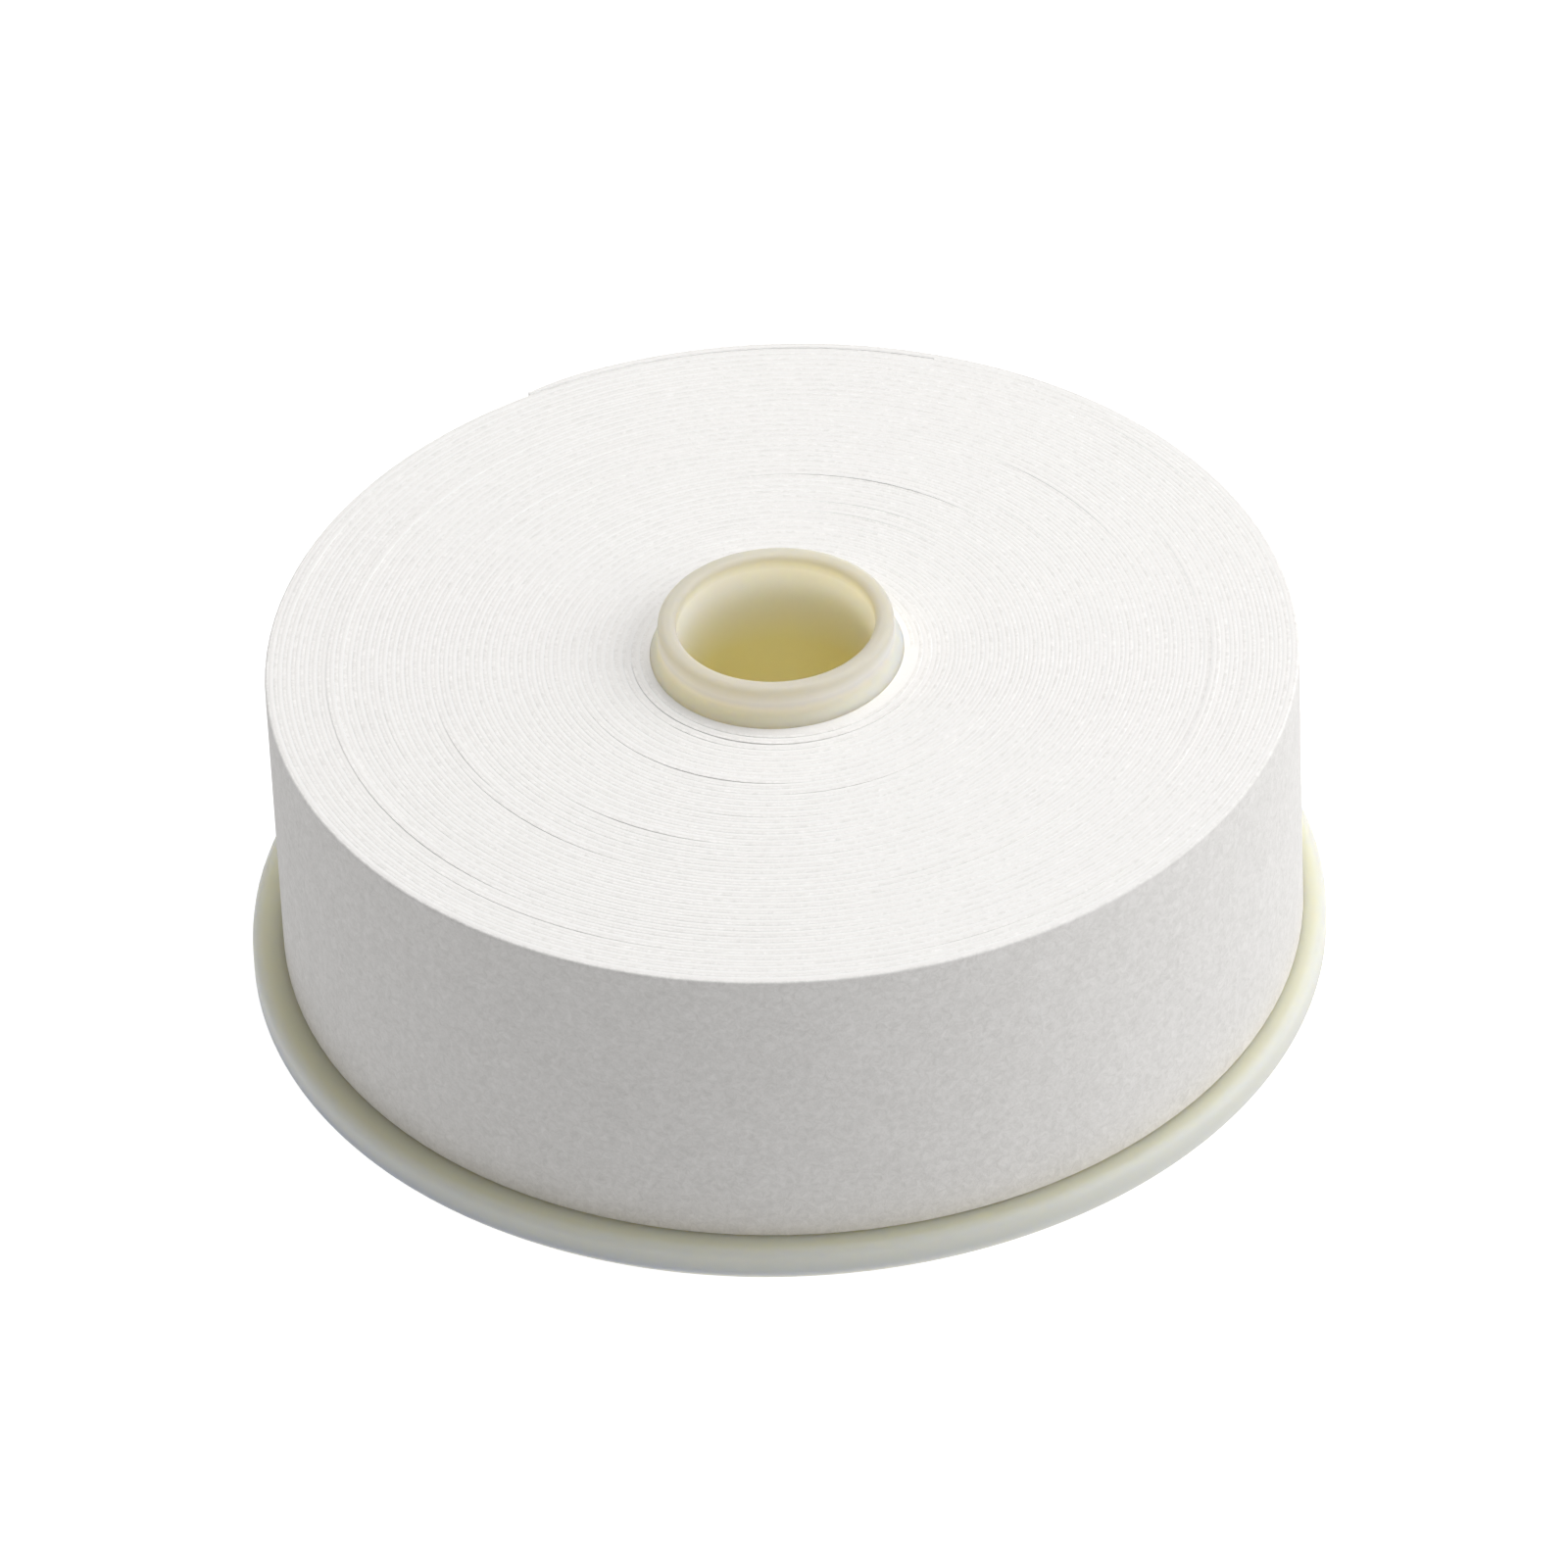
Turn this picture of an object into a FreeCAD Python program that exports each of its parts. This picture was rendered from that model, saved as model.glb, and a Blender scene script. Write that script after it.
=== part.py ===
import FreeCAD, Part
import math
import os

from FreeCAD import Vector

# A reel of grip tape for racket handles, standing on its flange. The flange lies flat on z = 0,
# the hub axis is +Z and the free end of the tape is at the back (+Y). Sizes are in millimetres.

# moulded reel
bore_radius = 7.75
spigot_wall = 1.45
shoulder_step = 0.7
spigot_height = 2.6
barrel_standoff = 1.1
flange_overhang = 1.8
flange_thickness = 2.4
flange_top_round = 0.9
flange_base_round = 0.5
rim_round = 0.5
shoulder_round = 0.15

# wound tape: one turn is film, coat and backing, from the hub outwards
tape_width = 25.0
coat_thickness = 0.33
backing_thickness = 0.28
film_thickness = 0.04
layer_gap = 0.01
full_turns = 44
end_angle = 118.0
starter_thickness = 0.15
starter_angle = 70.0

# free end of the tape and the tab that holds it down
tail_length = 34.0
tail_gap = 0.12
tail_lift = 0.1
root_gap = 0.3
tab_width = 12.0
tab_over_tail = 9.0
tab_over_roll = 11.0
tab_ramp = 1.2
tab_thickness = 0.1
tab_gap = 0.12

# derived radii and heights
spigot_radius = bore_radius + spigot_wall
barrel_radius = spigot_radius + shoulder_step
barrel_top = flange_thickness + tape_width + barrel_standoff
hub_top = barrel_top + spigot_height
coat_start = barrel_radius + starter_thickness + layer_gap
backing_start = coat_start + coat_thickness + layer_gap
pitch = coat_thickness + backing_thickness + film_thickness + 3.0 * layer_gap
film_start = coat_start - layer_gap - film_thickness
roll_radius = backing_start + backing_thickness + full_turns * pitch
flange_radius = roll_radius + flange_overhang

# positions along the wound tape, in degrees from its inner end, which is at +X
tape_end = 360.0 * full_turns + end_angle
tail_root = tape_end - math.degrees(tail_length / roll_radius)
pack_end = tail_root - math.degrees(root_gap / roll_radius)


def rounded_face(corners):
    """Closed outline in the XZ plane from (x, z, round) corners, each rounded by its own radius."""
    count = len(corners)
    tangents = []
    for i in range(count):
        x, z, radius = corners[i]
        here = Vector(x, 0.0, z)
        before = Vector(corners[i - 1][0], 0.0, corners[i - 1][1]) - here
        after = Vector(corners[(i + 1) % count][0], 0.0, corners[(i + 1) % count][1]) - here
        before.normalize()
        after.normalize()
        if radius == 0.0:
            tangents.append((here, None, here))
            continue
        half = 0.5 * before.getAngle(after)
        bisector = (before + after).normalize()
        reach = radius / math.tan(half)
        middle = here + bisector * (radius / math.sin(half) - radius)
        tangents.append((here + before * reach, middle, here + after * reach))
    edges = []
    for i in range(count):
        start, middle, end = tangents[i]
        if middle is not None:
            edges.append(Part.Arc(start, middle, end).toShape())
        following = tangents[(i + 1) % count][0]
        if end.distanceToPoint(following) > 1e-6:
            edges.append(Part.makeLine(end, following))
    return Part.Face(Part.Wire(edges))


def arc_centre(half_turn):
    """The spiral swaps between two centres half a pitch apart, so each half turn is a true arc."""
    return Vector(0.0 if half_turn % 2 == 0 else 0.5 * pitch, 0.0, 0.0)


def half_turn_of(degree):
    return int(math.floor(degree / 180.0 + 1e-9))


def spiral_point(start_radius, degree, half_turn):
    radius = start_radius + 0.5 * pitch * half_turn
    angle = math.radians(degree)
    return arc_centre(half_turn) + Vector(radius * math.cos(angle), radius * math.sin(angle), 0.0)


def spiral_edges(start_radius, first, last):
    """Chain of circular arcs along the spiral between two positions, one for each half turn."""
    edges = []
    low = first
    while low < last - 1e-6:
        half_turn = half_turn_of(low)
        high = min(last, 180.0 * (half_turn + 1))
        edges.append(Part.Arc(spiral_point(start_radius, low, half_turn),
                              spiral_point(start_radius, 0.5 * (low + high), half_turn),
                              spiral_point(start_radius, high, half_turn)).toShape())
        low = high
    return edges


def last_half_turn(degree):
    return int(math.ceil(degree / 180.0 - 1e-9)) - 1


def wound_layer(start_radius, thickness, first, last, lift=0.0):
    """One layer of the roll: a strip of constant thickness, wound on edge on top of the flange."""
    inner = spiral_edges(start_radius, first, last)
    outer = spiral_edges(start_radius + thickness, first, last)
    begin, finish = half_turn_of(first), last_half_turn(last)
    caps = [Part.makeLine(spiral_point(start_radius, first, begin),
                          spiral_point(start_radius + thickness, first, begin)),
            Part.makeLine(spiral_point(start_radius, last, finish),
                          spiral_point(start_radius + thickness, last, finish))]
    outline = Part.Wire(Part.__sortEdges__(inner + outer + caps))
    strip = Part.Face(outline).extrude(Vector(0.0, 0.0, tape_width))
    strip.translate(Vector(0.0, 0.0, flange_thickness + lift))
    return strip


def reel():
    """Flange, barrel and spigot in one moulding, turned about the bore."""
    profile = rounded_face([
        (bore_radius, 0.0, flange_base_round),
        (flange_radius, 0.0, flange_base_round),
        (flange_radius, flange_thickness, flange_top_round),
        (barrel_radius, flange_thickness, 0.0),
        (barrel_radius, barrel_top, shoulder_round),
        (spigot_radius, barrel_top, 0.0),
        (spigot_radius, hub_top, rim_round),
        (bore_radius, hub_top, rim_round)])
    return profile.revolve(Vector(0, 0, 0), Vector(0, 0, 1), 360.0)


def starter_strip():
    """Double-sided adhesive strip on the barrel, under the inner end of the tape."""
    return wound_layer(barrel_radius, starter_thickness, 0.0, starter_angle)


def grip_coat():
    return wound_layer(coat_start, coat_thickness, 0.0, pack_end)


def grip_backing():
    return wound_layer(backing_start, backing_thickness, 0.0, pack_end)


def release_film():
    """Clear film on the tacky coat, from the end of the starter strip to the free end."""
    return wound_layer(film_start, film_thickness, starter_angle + 5.0, tape_end)


def tail_coat():
    return wound_layer(coat_start + tail_gap, coat_thickness, tail_root, tape_end, tail_lift)


def tail_backing():
    return wound_layer(backing_start + tail_gap, backing_thickness, tail_root, tape_end, tail_lift)


def closing_tab():
    """Thin sticker over the free end: along the tail, down a short ramp, then along the roll."""
    over_tail = backing_start + tail_gap + backing_thickness + layer_gap
    over_roll = backing_start - pitch + backing_thickness + tab_gap
    half_turn = last_half_turn(tape_end)
    tail_side = tape_end - math.degrees(tab_over_tail / roll_radius)
    ramp_foot = tape_end + math.degrees(tab_ramp / roll_radius)
    roll_side = tape_end + math.degrees(tab_over_roll / roll_radius)
    rows = []
    for lift in (0.0, tab_thickness):
        on_tail = [spiral_point(over_tail + lift, tail_side, half_turn),
                   spiral_point(over_tail + lift, 0.5 * (tail_side + tape_end), half_turn),
                   spiral_point(over_tail + lift, tape_end, half_turn)]
        on_roll = [spiral_point(over_roll + lift, ramp_foot, half_turn),
                   spiral_point(over_roll + lift, 0.5 * (ramp_foot + roll_side), half_turn),
                   spiral_point(over_roll + lift, roll_side, half_turn)]
        rows.append((on_tail, on_roll))
    edges = []
    for on_tail, on_roll in rows:
        edges.append(Part.Arc(*on_tail).toShape())
        edges.append(Part.makeLine(on_tail[2], on_roll[0]))
        edges.append(Part.Arc(*on_roll).toShape())
    edges.append(Part.makeLine(rows[0][0][0], rows[1][0][0]))
    edges.append(Part.makeLine(rows[0][1][2], rows[1][1][2]))
    sticker = Part.Face(Part.Wire(Part.__sortEdges__(edges)))
    sticker = sticker.extrude(Vector(0.0, 0.0, tab_width))
    sticker.translate(Vector(0.0, 0.0, flange_thickness + 0.5 * (tape_width - tab_width)))
    return sticker


nodes = {
    "reel": reel,
    "starter_strip": starter_strip,
    "grip_coat": grip_coat,
    "grip_backing": grip_backing,
    "release_film": release_film,
    "tail_coat": tail_coat,
    "tail_backing": tail_backing,
    "closing_tab": closing_tab,
}

os.makedirs("parts", exist_ok=True)
for name, make in nodes.items():
    make().exportStep("parts/" + name + ".step")
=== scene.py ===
import math

import bmesh
import bpy
from mathutils import Matrix, Vector, noise


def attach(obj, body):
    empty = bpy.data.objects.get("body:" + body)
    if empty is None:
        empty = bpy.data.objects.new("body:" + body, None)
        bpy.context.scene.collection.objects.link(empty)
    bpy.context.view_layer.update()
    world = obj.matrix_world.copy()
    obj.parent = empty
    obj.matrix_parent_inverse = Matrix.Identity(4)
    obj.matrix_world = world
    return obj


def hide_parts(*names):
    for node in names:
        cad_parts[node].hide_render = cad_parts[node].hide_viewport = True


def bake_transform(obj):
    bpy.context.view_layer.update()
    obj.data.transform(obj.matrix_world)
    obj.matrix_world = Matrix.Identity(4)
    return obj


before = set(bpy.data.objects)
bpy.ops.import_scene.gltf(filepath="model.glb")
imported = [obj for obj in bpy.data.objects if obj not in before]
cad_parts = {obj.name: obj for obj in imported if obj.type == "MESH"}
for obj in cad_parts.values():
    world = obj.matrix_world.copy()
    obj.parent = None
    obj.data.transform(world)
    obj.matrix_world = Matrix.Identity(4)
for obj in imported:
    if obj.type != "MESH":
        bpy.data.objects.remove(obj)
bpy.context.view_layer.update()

MM = 0.001


# ---------------------------------------------------------------------------------------------
# Reel. One injection moulding in natural, unpigmented nylon: a flat round flange with a hollow
# hub, whose upper end is stepped down to a short spigot with a soft rim.
# ---------------------------------------------------------------------------------------------

BORE_RADIUS = 7.75
SPIGOT_RADIUS = 9.2
BARREL_RADIUS = 9.9
BARREL_TOP = 28.5
HUB_TOP = 31.1
FLANGE_RADIUS = 42.4
FLANGE_THICKNESS = 2.4
SHOULDER_SLOPE = 0.35


def linear(colour):
    """An sRGB hex colour as the linear RGBA that a shader takes."""
    parts = [int(colour[i:i + 2], 16) / 255 for i in (1, 3, 5)]
    return [c / 12.92 if c <= 0.04045 else ((c + 0.055) / 1.055) ** 2.4 for c in parts] + [1.0]


def add_node(material, kind, inputs=None, **settings):
    """Adds a node. An input is given as a value, or as the output socket that feeds it."""
    node = material.node_tree.nodes.new(kind)
    for name, value in settings.items():
        setattr(node, name, value)
    for name, value in (inputs or {}).items():
        if isinstance(value, bpy.types.NodeSocket):
            material.node_tree.links.new(value, node.inputs[name])
        else:
            node.inputs[name].default_value = value
    return node


def new_material(name):
    material = bpy.data.materials.new(name)
    material.use_nodes = True
    material.node_tree.nodes.clear()
    return material


def finish_material(material, shader):
    add_node(material, "ShaderNodeOutputMaterial", {"Surface": shader.outputs[0]})
    return material


def finish_piece(bm, name, material, body):
    """Turns a bmesh into a piece that rides on a body, smooth except across sharp corners."""
    bmesh.ops.recalc_face_normals(bm, faces=bm.faces)
    mesh = bpy.data.meshes.new(name)
    bm.to_mesh(mesh)
    bm.free()
    mesh.polygons.foreach_set("use_smooth", [True] * len(mesh.polygons))
    mesh.set_sharp_from_angle(angle=math.radians(38))
    mesh.materials.append(material)
    piece = bpy.data.objects.new(name, mesh)
    bpy.context.scene.collection.objects.link(piece)
    if body:
        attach(piece, body)
    return piece


def turned(corners, steps):
    """Spins a closed (radius, height, round) outline about the hub axis and rounds its corners.

    Two holding points beside each corner keep the flat faces flat once they are shaded smooth.
    """
    hold = 0.12
    bm = bmesh.new()
    verts = []
    for i, (r, z, round_) in enumerate(corners):
        here = Vector((r, 0.0, z))
        for other in (corners[i - 1], None, corners[(i + 1) % len(corners)]):
            if other is None:
                verts.append(bm.verts.new(here * MM))
                continue
            side = Vector((other[0], 0.0, other[1])) - here
            reach = min(round_ + hold, 0.45 * side.length)
            verts.append(bm.verts.new((here + side.normalized() * reach) * MM))
    edges = [bm.edges.new((verts[i - 1], verts[i])) for i in range(len(verts))]
    bmesh.ops.spin(bm, geom=verts + edges, cent=(0, 0, 0), axis=(0, 0, 1), angle=math.tau,
                   steps=steps, use_merge=True)
    bmesh.ops.remove_doubles(bm, verts=bm.verts, dist=1e-7)
    for r, z, round_ in corners:
        if round_:
            ring = [e for e in bm.edges if all(
                abs(v.co.xy.length - r * MM) < 1e-6 and abs(v.co.z - z * MM) < 1e-6 for v in e.verts)]
            bmesh.ops.bevel(bm, geom=ring, offset=round_ * MM, offset_type="OFFSET", segments=5,
                            profile=0.5, affect="EDGES", material=-1)
    return bm


# Natural nylon: milky and slightly yellow, with light glowing through its thin walls. Its surface
# is a fine moulded satin. The spigot is the least yellow part, and its rim top is painted darker as
# painted shade. The barrel band is warmer and painted brighter, as painted light for the glow
# through its wall, and the flange is warmer. Down inside the bore, painted light runs from bright
# ivory to ochre.
nylon = new_material("natural_nylon")
place = add_node(nylon, "ShaderNodeTexCoord").outputs["Object"]
axes = add_node(nylon, "ShaderNodeSeparateXYZ", {"Vector": place}).outputs
flat = add_node(nylon, "ShaderNodeCombineXYZ", {"X": axes["X"], "Y": axes["Y"]}).outputs[0]
from_axis = add_node(nylon, "ShaderNodeVectorMath", {0: flat}, operation="LENGTH").outputs["Value"]
in_bore = add_node(nylon, "ShaderNodeMapRange", {
    "Value": from_axis, "From Min": 8.3 * MM, "From Max": 7.9 * MM}).outputs[0]
depth = add_node(nylon, "ShaderNodeMapRange", {
    "Value": axes["Z"], "From Min": 28.6 * MM, "From Max": 22.8 * MM}).outputs[0]
cloud = add_node(nylon, "ShaderNodeTexNoise", {
    "Vector": place, "Scale": 1 / (9 * MM), "Detail": 3.0, "Roughness": 0.5}).outputs["Fac"]
pale = add_node(nylon, "ShaderNodeMix", {
    "Factor": cloud, 6: linear("#D3D1CD"), 7: linear("#DAD9D6")}, data_type="RGBA").outputs[2]
# Partly painted light: below the spigot the barrel band takes the nylon's warmer tone. It is painted
# brighter than the flange, standing in for light carried through the wall where the spigot shades it.
low = add_node(nylon, "ShaderNodeMapRange", {
    "Value": axes["Z"], "From Min": 29.6 * MM, "From Max": 28.6 * MM}).outputs[0]
outboard = add_node(nylon, "ShaderNodeMapRange", {
    "Value": from_axis, "From Min": 12.0 * MM, "From Max": 40.0 * MM}).outputs[0]
warm_nylon_painted_glow = add_node(nylon, "ShaderNodeMix", {
    "Factor": outboard, 6: linear("#F8EFD2"), 7: linear("#E2DABC")}, data_type="RGBA").outputs[2]
ivory = add_node(nylon, "ShaderNodeMix", {
    "Factor": low, 6: pale, 7: warm_nylon_painted_glow}, data_type="RGBA").outputs[2]
edge = add_node(nylon, "ShaderNodeMapRange", {
    "Value": from_axis, "From Min": 41.4 * MM, "From Max": 42.3 * MM}).outputs[0]
body = add_node(nylon, "ShaderNodeMix", {
    "Factor": edge, 6: ivory, 7: linear("#E3DFCF")}, data_type="RGBA").outputs[2]
# Painted light: the bore's wall is painted bright ivory near its mouth and turns ochre further down.
# This stands in for light bounced about inside the bore and carried through its wall.
bore_painted_glow = add_node(nylon, "ShaderNodeMix", {
    "Factor": depth, 6: linear("#FAF5E4"), 7: linear("#FFEAA4")}, data_type="RGBA").outputs[2]
nylon_with_bore_glow = add_node(nylon, "ShaderNodeMix", {
    "Factor": in_bore, 6: body, 7: bore_painted_glow}, data_type="RGBA").outputs[2]
# Painted shade: towards the top of the spigot the colour turns a darker grey. This holds the rim top
# down against the lamps overhead and on the right.
rim_painted_shade = add_node(nylon, "ShaderNodeMapRange", {
    "Value": axes["Z"], "From Min": 29.9 * MM, "From Max": 30.8 * MM}).outputs[0]
nylon_with_painted_light = add_node(nylon, "ShaderNodeMix", {
    "Factor": rim_painted_shade, 6: nylon_with_bore_glow, 7: linear("#B7B4AB")}, data_type="RGBA").outputs[2]
satin = add_node(nylon, "ShaderNodeTexNoise", {
    "Vector": place, "Scale": 1 / (0.5 * MM), "Detail": 4.0, "Roughness": 0.6}).outputs["Fac"]
sink = add_node(nylon, "ShaderNodeTexNoise", {
    "Vector": place, "Scale": 1 / (6 * MM), "Detail": 1.0}).outputs["Fac"]
swell = add_node(nylon, "ShaderNodeBump", {
    "Height": sink, "Strength": 0.5, "Distance": 0.06 * MM}).outputs[0]
grain = add_node(nylon, "ShaderNodeBump", {
    "Height": satin, "Strength": 0.35, "Distance": 0.01 * MM, "Normal": swell}).outputs[0]
gloss = add_node(nylon, "ShaderNodeMapRange", {
    "Value": satin, "To Min": 0.42, "To Max": 0.56}).outputs[0]
finish_material(nylon, add_node(nylon, "ShaderNodeBsdfPrincipled", {
    "Base Color": nylon_with_painted_light, "Roughness": gloss, "IOR": 1.53, "Normal": grain,
    "Subsurface Weight": 1.0, "Subsurface Radius": (1.0, 0.85, 0.5), "Subsurface Scale": 8.0 * MM}))

reel = finish_piece(turned([
    (BORE_RADIUS, 0.0, 0.5),
    (FLANGE_RADIUS, 0.0, 0.15),
    (FLANGE_RADIUS, FLANGE_THICKNESS, 0.7),
    (BARREL_RADIUS, FLANGE_THICKNESS, 0.0),
    (BARREL_RADIUS, BARREL_TOP - SHOULDER_SLOPE, 0.3),
    (SPIGOT_RADIUS, BARREL_TOP + SHOULDER_SLOPE, 0.3),
    (SPIGOT_RADIUS, HUB_TOP, 0.5),
    (BORE_RADIUS, HUB_TOP, 0.5)], 256), "moulded_reel", nylon, "roll")
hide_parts("reel")


# ---------------------------------------------------------------------------------------------
# Starter strip. A patch of double-sided adhesive on the barrel, under the tape's inner end. It
# is a tissue carrier with a yellowish acrylic adhesive, and the wound tape hides it.
# ---------------------------------------------------------------------------------------------

adhesive = new_material("acrylic_adhesive_on_tissue")
place = add_node(adhesive, "ShaderNodeTexCoord").outputs["Object"]
fibres = add_node(adhesive, "ShaderNodeTexNoise", {
    "Vector": place, "Scale": 1 / (0.4 * MM), "Detail": 5.0, "Distortion": 1.5}).outputs["Fac"]
amber = add_node(adhesive, "ShaderNodeMix", {
    "Factor": fibres, 6: linear("#CDBE94"), 7: linear("#E6DDC0")}, data_type="RGBA").outputs[2]
tissue = add_node(adhesive, "ShaderNodeBump", {
    "Height": fibres, "Strength": 0.5, "Distance": 0.02 * MM}).outputs[0]
finish_material(adhesive, add_node(adhesive, "ShaderNodeBsdfPrincipled", {
    "Base Color": amber, "Roughness": 0.35, "IOR": 1.47, "Normal": tissue}))
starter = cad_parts["starter_strip"]
starter.data.materials.clear()
starter.data.materials.append(adhesive)


# ---------------------------------------------------------------------------------------------
# Grip tape. One long strip of soft laminate: a needled polyester fleece, which faces out, bonded
# to a tacky polyurethane coat. It is slit to width and wound on edge, so the roll's end face is
# the slit edge of every turn, each a little higher or lower than the next.
# ---------------------------------------------------------------------------------------------

TAPE_WIDTH = 25.0
COAT_THICKNESS = 0.33
BACKING_THICKNESS = 0.28
FILM_THICKNESS = 0.04
LAYER_GAP = 0.01
STARTER_THICKNESS = 0.15
FULL_TURNS = 44
TAPE_END = 360.0 * FULL_TURNS + 118.0
TAIL_ROOT = 360.0 * FULL_TURNS + 70.0183
PITCH = COAT_THICKNESS + BACKING_THICKNESS + FILM_THICKNESS + 3 * LAYER_GAP
COAT_START = BARREL_RADIUS + STARTER_THICKNESS + LAYER_GAP
BACKING_START = COAT_START + COAT_THICKNESS + LAYER_GAP
FILM_START = COAT_START - LAYER_GAP - FILM_THICKNESS


def half_turns(degree):
    return math.floor(degree / 180.0 + 1e-9)


def wound_place(start_radius, degree, outward, height):
    """Where a point of the flat tape lies once it is wound: each half turn is an arc about one of
    two centres half a pitch apart."""
    half = half_turns(degree)
    centre = 0.0 if half % 2 == 0 else 0.5 * PITCH
    radius = start_radius + 0.5 * PITCH * half + outward
    angle = math.radians(degree)
    return Vector((centre + radius * math.cos(angle), radius * math.sin(angle), height)) * MM


def turn_lift(degree):
    """How far the winding left this stretch of tape above the flange, in millimetres.

    The roll domes up towards the hub, its first turns ride highest, the slit edge wanders slowly,
    and here and there a stretch of one turn stands proud of its neighbours.
    """
    angle, turn = math.radians(degree), degree / 360.0
    share = 1.0 - turn / (FULL_TURNS + 0.5)
    dome = 0.35 * share ** 1.2
    collar = 0.12 * max(0.0, min(1.0, (2.8 - turn) / 1.4))
    around = Vector((math.cos(angle), math.sin(angle), 0.0))
    wander = 0.03 * noise.noise(around * 0.9 + Vector((0.0, 0.0, turn * 0.12)))
    unevenness = noise.noise(around * 1.2 + Vector((0.0, 4.7, turn * 1.9)))
    proud = 0.15 * max(0.0, unevenness - 0.27)
    return 0.05 + dome + collar + wander + proud


def tape_strip(start_radius, thickness, first, last, edge_round, shy=0.0, outer_round=0.0,
               fills_step=False, degrees_per_step=3.0):
    """A flat strip with soft long edges, wound on to the roll between two positions.

    shy is how far the strip's slit edge stays below the tape's. A strip that fills the step is
    pulled down on to the barrel all round its first turn, except over the starter strip.
    """
    steps = max(2, round((last - first) / degrees_per_step))
    width, thick = (TAPE_WIDTH - shy) * MM, (thickness + LAYER_GAP) * MM
    bm = bmesh.new()
    bmesh.ops.create_grid(bm, x_segments=steps, y_segments=1, size=0.5,
                          matrix=Matrix.Diagonal((steps * MM, width, 1.0, 1.0)))
    bmesh.ops.translate(bm, verts=bm.verts, vec=(0.5 * steps * MM, 0.5 * width, 0.0))
    lifted = bmesh.ops.extrude_face_region(bm, geom=list(bm.faces))["geom"]
    bmesh.ops.translate(bm, verts=[g for g in lifted if isinstance(g, bmesh.types.BMVert)],
                        vec=(0.0, 0.0, thick))
    bmesh.ops.recalc_face_normals(bm, faces=bm.faces)
    bmesh.ops.bisect_plane(bm, geom=bm.verts[:] + bm.edges[:] + bm.faces[:], dist=1e-9,
                           plane_co=(0.0, width - 0.35 * MM, 0.0), plane_no=(0, 1, 0))
    for side, round_ in ((0.0, edge_round), (thick, outer_round or edge_round)):
        corner = [e for e in bm.edges if all(
            abs(v.co.y - width) < 1e-8 and abs(v.co.z - side) < 1e-8 for v in e.verts)
            and abs(e.verts[0].co.x - e.verts[1].co.x) > 1e-8]
        bmesh.ops.bevel(bm, geom=corner, offset=round_ * MM, offset_type="OFFSET",
                        segments=4 if outer_round else 2, profile=0.5, affect="EDGES", material=-1)
    for v in bm.verts:
        degree = first + (last - first) * min(1.0, max(0.0, v.co.x / (steps * MM)))
        height = FLANGE_THICKNESS + v.co.y / MM + turn_lift(degree)
        place = wound_place(start_radius - 0.5 * LAYER_GAP, degree, v.co.z / MM, height)
        if fills_step and degree < 359.0 and v.co.z < 0.5 * thick:
            above_starter = height > FLANGE_THICKNESS + TAPE_WIDTH + 0.05
            pull = 1.0 if above_starter else min(1.0, max(0.0, (degree - 72.0) / 20.0))
            place.xy *= 1.0 + pull * ((BARREL_RADIUS + LAYER_GAP) * MM / place.xy.length - 1.0)
        v.co = place
    return bm


# Needled polyester fleece: dead matt white with a fine speckle where fibres cross. A single
# fibre is too fine to show, so the speckle is drawn at about half a millimetre.
fleece = new_material("needled_polyester_fleece")
place = add_node(fleece, "ShaderNodeTexCoord").outputs["Object"]
speckle = add_node(fleece, "ShaderNodeTexNoise", {
    "Vector": place, "Scale": 1 / (0.6 * MM), "Detail": 6.0, "Roughness": 0.78,
    "Distortion": 0.8}).outputs["Fac"]
blotch = add_node(fleece, "ShaderNodeTexNoise", {
    "Vector": place, "Scale": 1 / (3 * MM), "Detail": 3.0}).outputs["Fac"]
mixed = add_node(fleece, "ShaderNodeMix", {"Factor": 0.12, 2: speckle, 3: blotch}).outputs[0]
spread = add_node(fleece, "ShaderNodeMapRange", {
    "Value": mixed, "From Min": 0.34, "From Max": 0.66}).outputs[0]
white = add_node(fleece, "ShaderNodeMix", {
    "Factor": spread, 6: linear("#E2E0DD"), 7: linear("#F8F6F4")}, data_type="RGBA").outputs[2]
nap = add_node(fleece, "ShaderNodeBump", {
    "Height": speckle, "Strength": 0.7, "Distance": 0.06 * MM}).outputs[0]
finish_material(fleece, add_node(fleece, "ShaderNodeBsdfPrincipled", {
    "Base Color": white, "Roughness": 0.92, "IOR": 1.4, "Normal": nap, "Sheen Weight": 0.08,
    "Sheen Roughness": 0.5}))

for name, first, last, outer_round in (("wound_fleece", -3.0, TAIL_ROOT - 360.0, 0.0),
                                      ("outer_turn_fleece", TAIL_ROOT - 360.0, TAIL_ROOT, 0.2)):
    strip = tape_strip(BACKING_START, BACKING_THICKNESS, first, last, 0.01, outer_round=outer_round)
    piece = finish_piece(strip, name, fleece, "roll")
    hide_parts("grip_backing")

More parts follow.
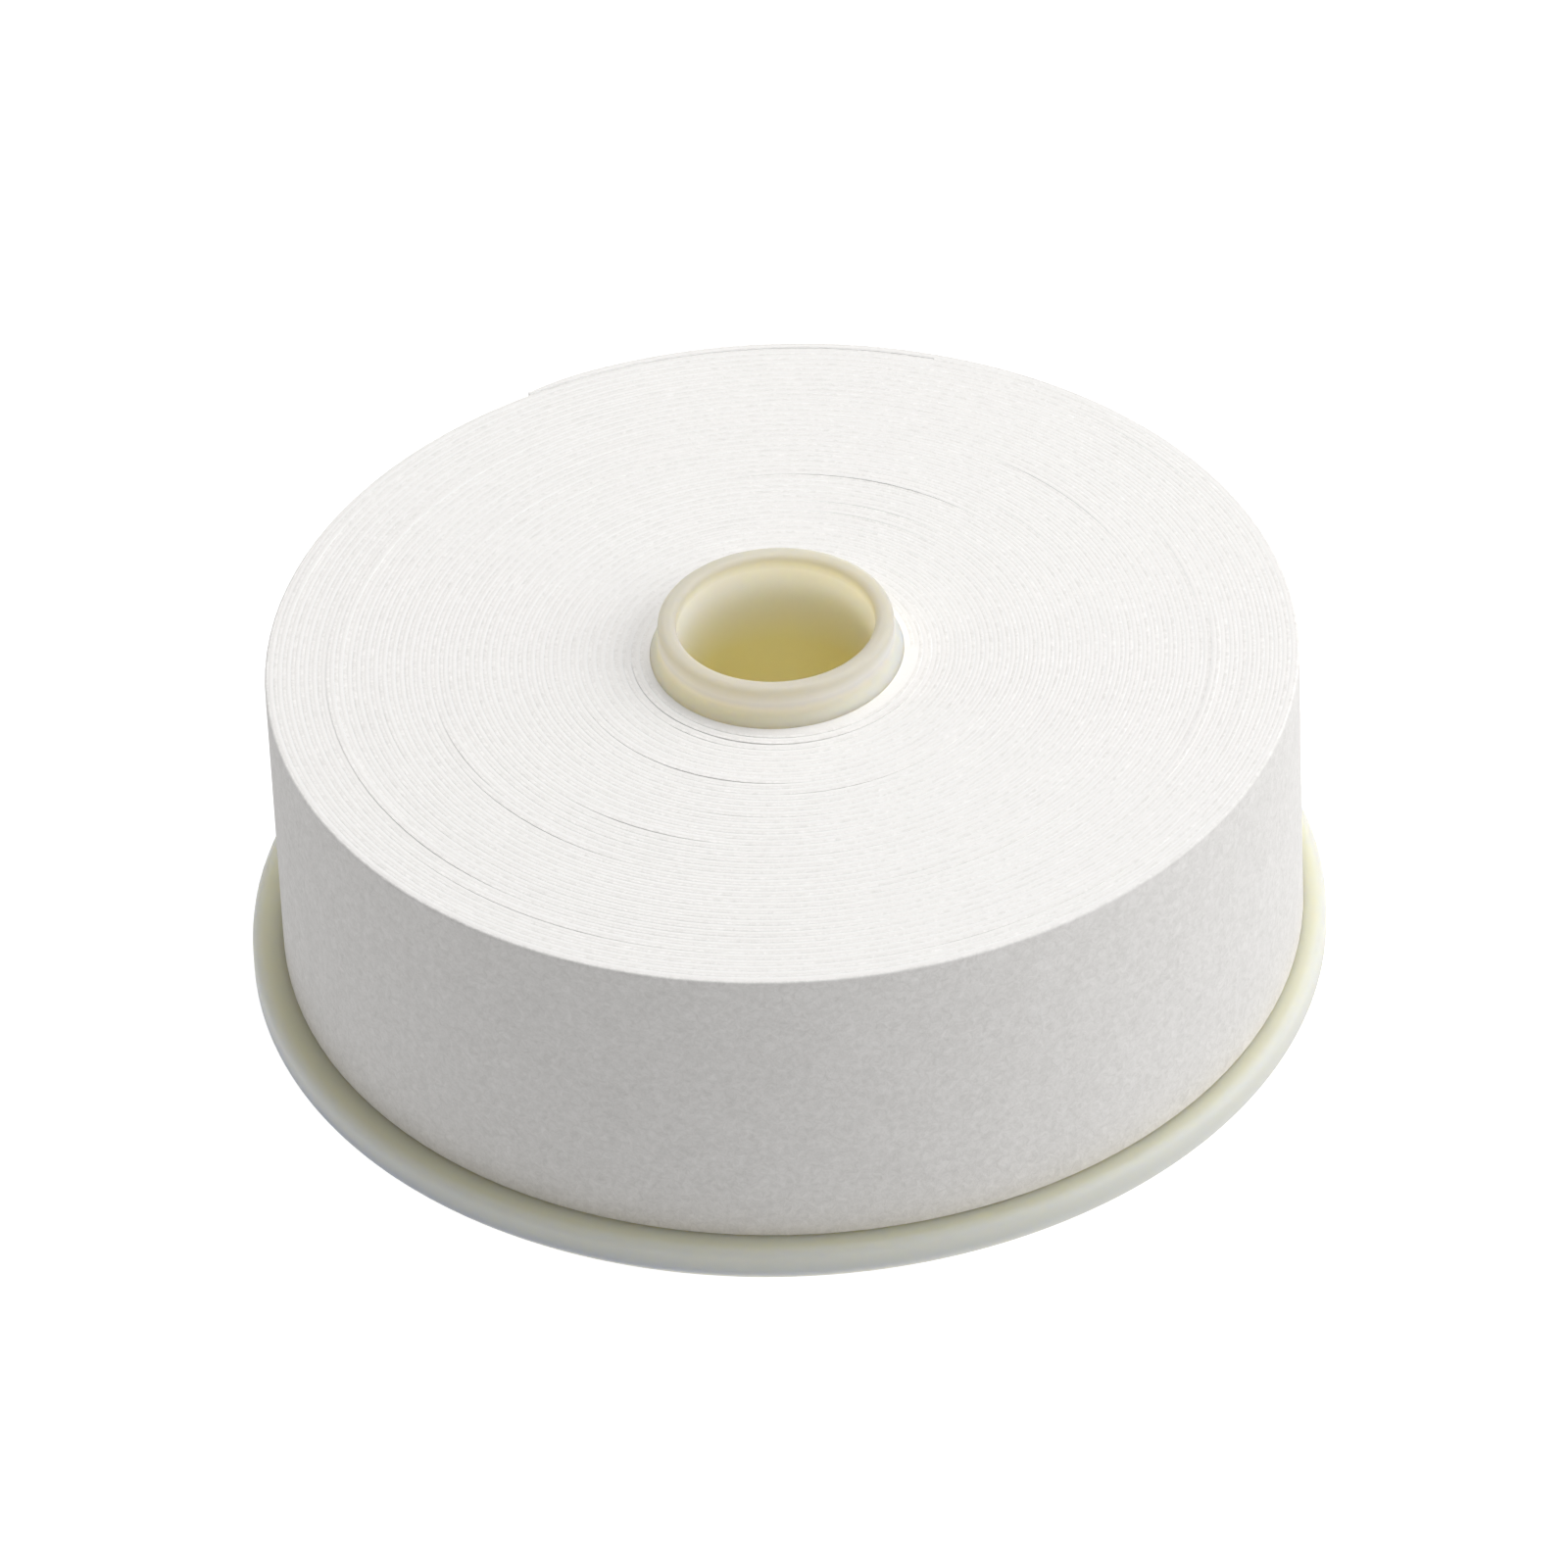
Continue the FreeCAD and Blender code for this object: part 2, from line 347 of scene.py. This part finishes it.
# Foamed polyurethane: a closed soft skin, smoother and a trace glossier than the fleece.
coat = new_material("foamed_polyurethane_coat")
place = add_node(coat, "ShaderNodeTexCoord").outputs["Object"]
cells = add_node(coat, "ShaderNodeTexNoise", {
    "Vector": place, "Scale": 1 / (0.22 * MM), "Detail": 4.0}).outputs["Fac"]
milk = add_node(coat, "ShaderNodeMix", {
    "Factor": cells, 6: linear("#EAE8E5"), 7: linear("#F4F2F0")}, data_type="RGBA").outputs[2]
skin = add_node(coat, "ShaderNodeBump", {
    "Height": cells, "Strength": 0.4, "Distance": 0.02 * MM}).outputs[0]
finish_material(coat, add_node(coat, "ShaderNodeBsdfPrincipled", {
    "Base Color": milk, "Roughness": 0.62, "IOR": 1.48, "Normal": skin,
    "Subsurface Weight": 0.1, "Subsurface Radius": (1.0, 0.95, 0.9), "Subsurface Scale": 0.3 * MM}))

wound_coat = finish_piece(
    tape_strip(COAT_START, COAT_THICKNESS, -3.0, TAIL_ROOT, 0.01, fills_step=True),
    "wound_coat", coat, "roll")
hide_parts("grip_coat")


# ---------------------------------------------------------------------------------------------
# Release film. Thin clear polyester laid on the tacky coat as the tape is wound. It is slit a
# touch narrower than the tape, so its edge sits just below the slit edges of the turns.
# ---------------------------------------------------------------------------------------------

film = new_material("clear_polyester_film")
place = add_node(film, "ShaderNodeTexCoord").outputs["Object"]
ripple = add_node(film, "ShaderNodeTexNoise", {
    "Vector": place, "Scale": 1 / (3 * MM), "Detail": 2.0}).outputs["Fac"]
waves = add_node(film, "ShaderNodeBump", {
    "Height": ripple, "Strength": 0.3, "Distance": 0.05 * MM}).outputs[0]
finish_material(film, add_node(film, "ShaderNodeBsdfPrincipled", {
    "Base Color": linear("#FBFBFA"), "Roughness": 0.2, "IOR": 1.58, "Normal": waves,
    "Transmission Weight": 0.0}))
wound_film = finish_piece(
    tape_strip(FILM_START, FILM_THICKNESS, 360.0, TAPE_END, 0.006, shy=0.003),
    "wound_film", film, "roll")
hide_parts("release_film")


# ---------------------------------------------------------------------------------------------
# Free end. The last 34 mm of the same tape, at the back of the roll. It lies on the turn below.
# ---------------------------------------------------------------------------------------------

TAIL_GAP = 0.02
SQUEEZED_DEGREES = 8.0
tails = (
    ("free_end_fleece", fleece, "fleece", "tail_backing", BACKING_START, BACKING_THICKNESS, 0.2),
    ("free_end_coat", coat, "grip_coat", "tail_coat", COAT_START, COAT_THICKNESS, 0.01))


def pressed(degree, radius):
    """Radius of a point of the tail, which the tab squeezes thinner towards its end."""
    below = wound_place(COAT_START, degree, 0.0, 0.0).xy.length
    ease = min(1.0, max(0.0, (degree - TAIL_ROOT) / 12.0))
    near_end = (degree - TAPE_END + SQUEEZED_DEGREES) / SQUEEZED_DEGREES
    squeeze = 0.6 * min(1.0, max(0.0, near_end)) ** 2
    return radius - squeeze * (radius - below) + TAIL_GAP * ease * MM


for name, material, slot, node, start, thickness, outer_round in tails:
    bm = tape_strip(start, thickness, TAIL_ROOT, TAPE_END, 0.01, outer_round=outer_round,
                    degrees_per_step=1.0)
    for v in bm.verts:
        degree = math.degrees(math.atan2(v.co.y, v.co.x)) + 360.0 * FULL_TURNS
        radius = v.co.xy.length
        v.co.xy *= pressed(degree, radius) / radius
    piece = finish_piece(bm, name, material, None)
    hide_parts(node)
    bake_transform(piece)


# ---------------------------------------------------------------------------------------------
# Closing tab. A plain die-cut paper sticker over the free end, half on the tail and half on the
# turn below. It comes away with the tail.
# ---------------------------------------------------------------------------------------------

label = new_material("coated_label_paper")
place = add_node(label, "ShaderNodeTexCoord").outputs["Object"]
pulp = add_node(label, "ShaderNodeTexNoise", {
    "Vector": place, "Scale": 1 / (0.6 * MM), "Detail": 5.0}).outputs["Fac"]
sheet_white = add_node(label, "ShaderNodeMix", {
    "Factor": pulp, 6: linear("#F1F1EF"), 7: linear("#FAFAF8")}, data_type="RGBA").outputs[2]
tooth = add_node(label, "ShaderNodeBump", {
    "Height": pulp, "Strength": 0.25, "Distance": 0.01 * MM}).outputs[0]
finish_material(label, add_node(label, "ShaderNodeBsdfPrincipled", {
    "Base Color": sheet_white, "Roughness": 0.38, "IOR": 1.5, "Normal": tooth}))
TAB_WIDTH = 12.0
TAB_OVER_TAIL = 9.0
TAB_OVER_ROLL = 11.0
TAB_THICKNESS = 0.1
TAB_RAMP = 1.2
TAB_RADIUS = 40.9


def roll_surface(degree):
    """Radius of the fleece that the tab is stuck to, in metres."""
    turn_below = wound_place(BACKING_START, degree - 360.0, BACKING_THICKNESS, 0.0).xy.length
    on_tail = pressed(degree, wound_place(BACKING_START, degree, BACKING_THICKNESS, 0.0).xy.length)
    drop = min(1.0, max(0.0, (degree - TAPE_END) / math.degrees(TAB_RAMP / TAB_RADIUS)))
    return on_tail + (turn_below - on_tail) * drop * drop * (3.0 - 2.0 * drop)


bm = bmesh.new()
long_side = TAB_OVER_TAIL + TAB_OVER_ROLL
bmesh.ops.create_grid(bm, x_segments=60, y_segments=8, size=0.5,
                      matrix=Matrix.Diagonal((long_side * MM, TAB_WIDTH * MM, 1.0, 1.0)))
bmesh.ops.bevel(bm, geom=[v for v in bm.verts if len(v.link_edges) == 2], offset=0.3 * MM,
                offset_type="OFFSET", segments=3, profile=0.5, affect="VERTICES", material=-1)
lifted = bmesh.ops.extrude_face_region(bm, geom=list(bm.faces))["geom"]
bmesh.ops.translate(bm, verts=[g for g in lifted if isinstance(g, bmesh.types.BMVert)],
                    vec=(0.0, 0.0, TAB_THICKNESS * MM))
for v in bm.verts:
    degree = TAPE_END + math.degrees((v.co.x / MM + 0.5 * long_side - TAB_OVER_TAIL) / TAB_RADIUS)
    angle, radius = math.radians(degree), roll_surface(degree) + 0.01 * MM + v.co.z
    v.co = Vector((radius * math.cos(angle), radius * math.sin(angle),
                   v.co.y + (FLANGE_THICKNESS + 0.5 * TAPE_WIDTH + 0.1) * MM))
tab = finish_piece(bm, "paper_closing_tab", label, "tail")
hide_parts("closing_tab")


# ---------------------------------------------------------------------------------------------
# Studio. A plain pale sweep, a soft light above, a broad key from the right, a weak fill from the
# left, a narrow beam down the bore, and a long lens that looks down at the roll.
# ---------------------------------------------------------------------------------------------

paper = new_material("white_sweep")
finish_material(paper, add_node(paper, "ShaderNodeBsdfPrincipled", {
    "Base Color": (0.6, 0.6, 0.6, 1.0), "Roughness": 0.9, "Specular IOR Level": 0.0,
    "Emission Color": (1.0, 1.0, 1.0, 1.0), "Emission Strength": 0.8}))
bm = bmesh.new()
bmesh.ops.create_grid(bm, x_segments=1, y_segments=1, size=3.0,
                      matrix=Matrix.Translation((0.0, 0.0, -0.02 * MM)))
floor_mesh = bpy.data.meshes.new("sweep")
bm.to_mesh(floor_mesh)
bm.free()
floor_mesh.materials.append(paper)
floor = bpy.data.objects.new("sweep", floor_mesh)
bpy.context.scene.collection.objects.link(floor)
floor.visible_diffuse = False

# The shaded ring of table under the flange keeps light from coming up through it. It stays open
# under the bore. It lies a little to the left, so that more light reaches the flange's right edge.
RING_OPENING = 11.0
RING_INSET = 0.6
RING_SHIFT = 0.45
shade = new_material("shaded_table")
finish_material(shade, add_node(shade, "ShaderNodeBsdfPrincipled", {
    "Base Color": (0.25, 0.25, 0.24, 1.0), "Roughness": 0.9}))
bm = bmesh.new()
ends = [bm.verts.new((r * MM, 0.0, -0.01 * MM)) for r in (RING_OPENING, FLANGE_RADIUS - RING_INSET)]
bmesh.ops.spin(bm, geom=ends + [bm.edges.new(ends)], cent=(0, 0, 0), axis=(0, 0, 1),
               angle=math.tau, steps=96, use_merge=True)
bmesh.ops.remove_doubles(bm, verts=bm.verts, dist=1e-7)
bmesh.ops.translate(bm, verts=bm.verts, vec=(-RING_SHIFT * MM, 0.0, 0.0))
patch_mesh = bpy.data.meshes.new("shaded_patch")
bm.to_mesh(patch_mesh)
bm.free()
patch_mesh.materials.append(shade)
patch = bpy.data.objects.new("shaded_patch", patch_mesh)
bpy.context.scene.collection.objects.link(patch)


def soft_light(name, at, towards, width, height, power):
    lamp = bpy.data.lights.new(name, "AREA")
    lamp.shape = "RECTANGLE"
    lamp.size, lamp.size_y, lamp.energy = width, height, power
    light = bpy.data.objects.new(name, lamp)
    light.location = at
    light.rotation_mode = "QUATERNION"
    light.rotation_quaternion = (Vector(towards) - Vector(at)).to_track_quat("-Z", "Y")
    bpy.context.scene.collection.objects.link(light)


soft_light("overhead", (0.2, 0.4, 1.1), (0, 0, 0.02), 0.6, 0.6, 7.4)
soft_light("key_right", (0.92, -0.1, 0.6), (0, 0, 0.015), 1.2, 0.9, 7.7)
soft_light("fill_left", (-0.9, 0.25, 0.45), (0, 0, 0.015), 0.6, 0.6, 0.9)

# A narrow snoot from the front looks down the bore.
beam = bpy.data.lights.new("bore_snoot", "SPOT")
beam.energy, beam.spot_size, beam.spot_blend = 9.0, math.radians(0.85), 1.0
beam.shadow_soft_size = 0.004
snoot = bpy.data.objects.new("bore_snoot", beam)
snoot.location = (0.0, -0.47, 0.78)
snoot.rotation_mode = "QUATERNION"
bore_mouth = Vector((0.0, 0.0, 0.031))
snoot.rotation_quaternion = (bore_mouth - snoot.location).to_track_quat("-Z", "Y")
bpy.context.scene.collection.objects.link(snoot)

# The room: a dark ceiling over a bright table, whose light comes up at the walls of the roll.
world = bpy.data.worlds.new("studio")
world.use_nodes = True
world.node_tree.nodes.clear()
way = add_node(world, "ShaderNodeTexCoord").outputs["Generated"]
rise = add_node(world, "ShaderNodeSeparateXYZ", {"Vector": way}).outputs["Z"]
strength = add_node(world, "ShaderNodeMapRange", {
    "Value": rise, "From Min": -0.03, "From Max": 0.03, "To Min": 0.7, "To Max": 0.3}).outputs[0]
room = add_node(world, "ShaderNodeBackground", {"Color": (1.0, 1.0, 1.0, 1.0), "Strength": strength})
add_node(world, "ShaderNodeOutputWorld", {"Surface": room.outputs[0]})
bpy.context.scene.world = world
bpy.context.scene.view_settings.view_transform = "Standard"

CAMERA_DISTANCE = 1048 * MM
elevation, roll = math.radians(38.519), math.radians(-2.62)
back = Vector((0.0, -math.cos(elevation), math.sin(elevation)))
right = Vector((1.0, 0.0, 0.0))
up = back.cross(right)
across = math.cos(roll) * right + math.sin(roll) * up
upward = math.cos(roll) * up - math.sin(roll) * right
aim = (Vector((0.0, 0.0, 13.7)) + 0.04 * across + 0.68 * upward) * MM
lens = bpy.data.cameras.new("long_lens")
lens.sensor_width = 36.0
lens.lens = 306.8
camera = bpy.data.objects.new("camera", lens)
camera.matrix_world = Matrix((
    (across.x, upward.x, back.x, 0), (across.y, upward.y, back.y, 0),
    (across.z, upward.z, back.z, 0), (0, 0, 0, 1)))
camera.location = aim + back * CAMERA_DISTANCE
bpy.context.scene.collection.objects.link(camera)
bpy.context.scene.camera = camera
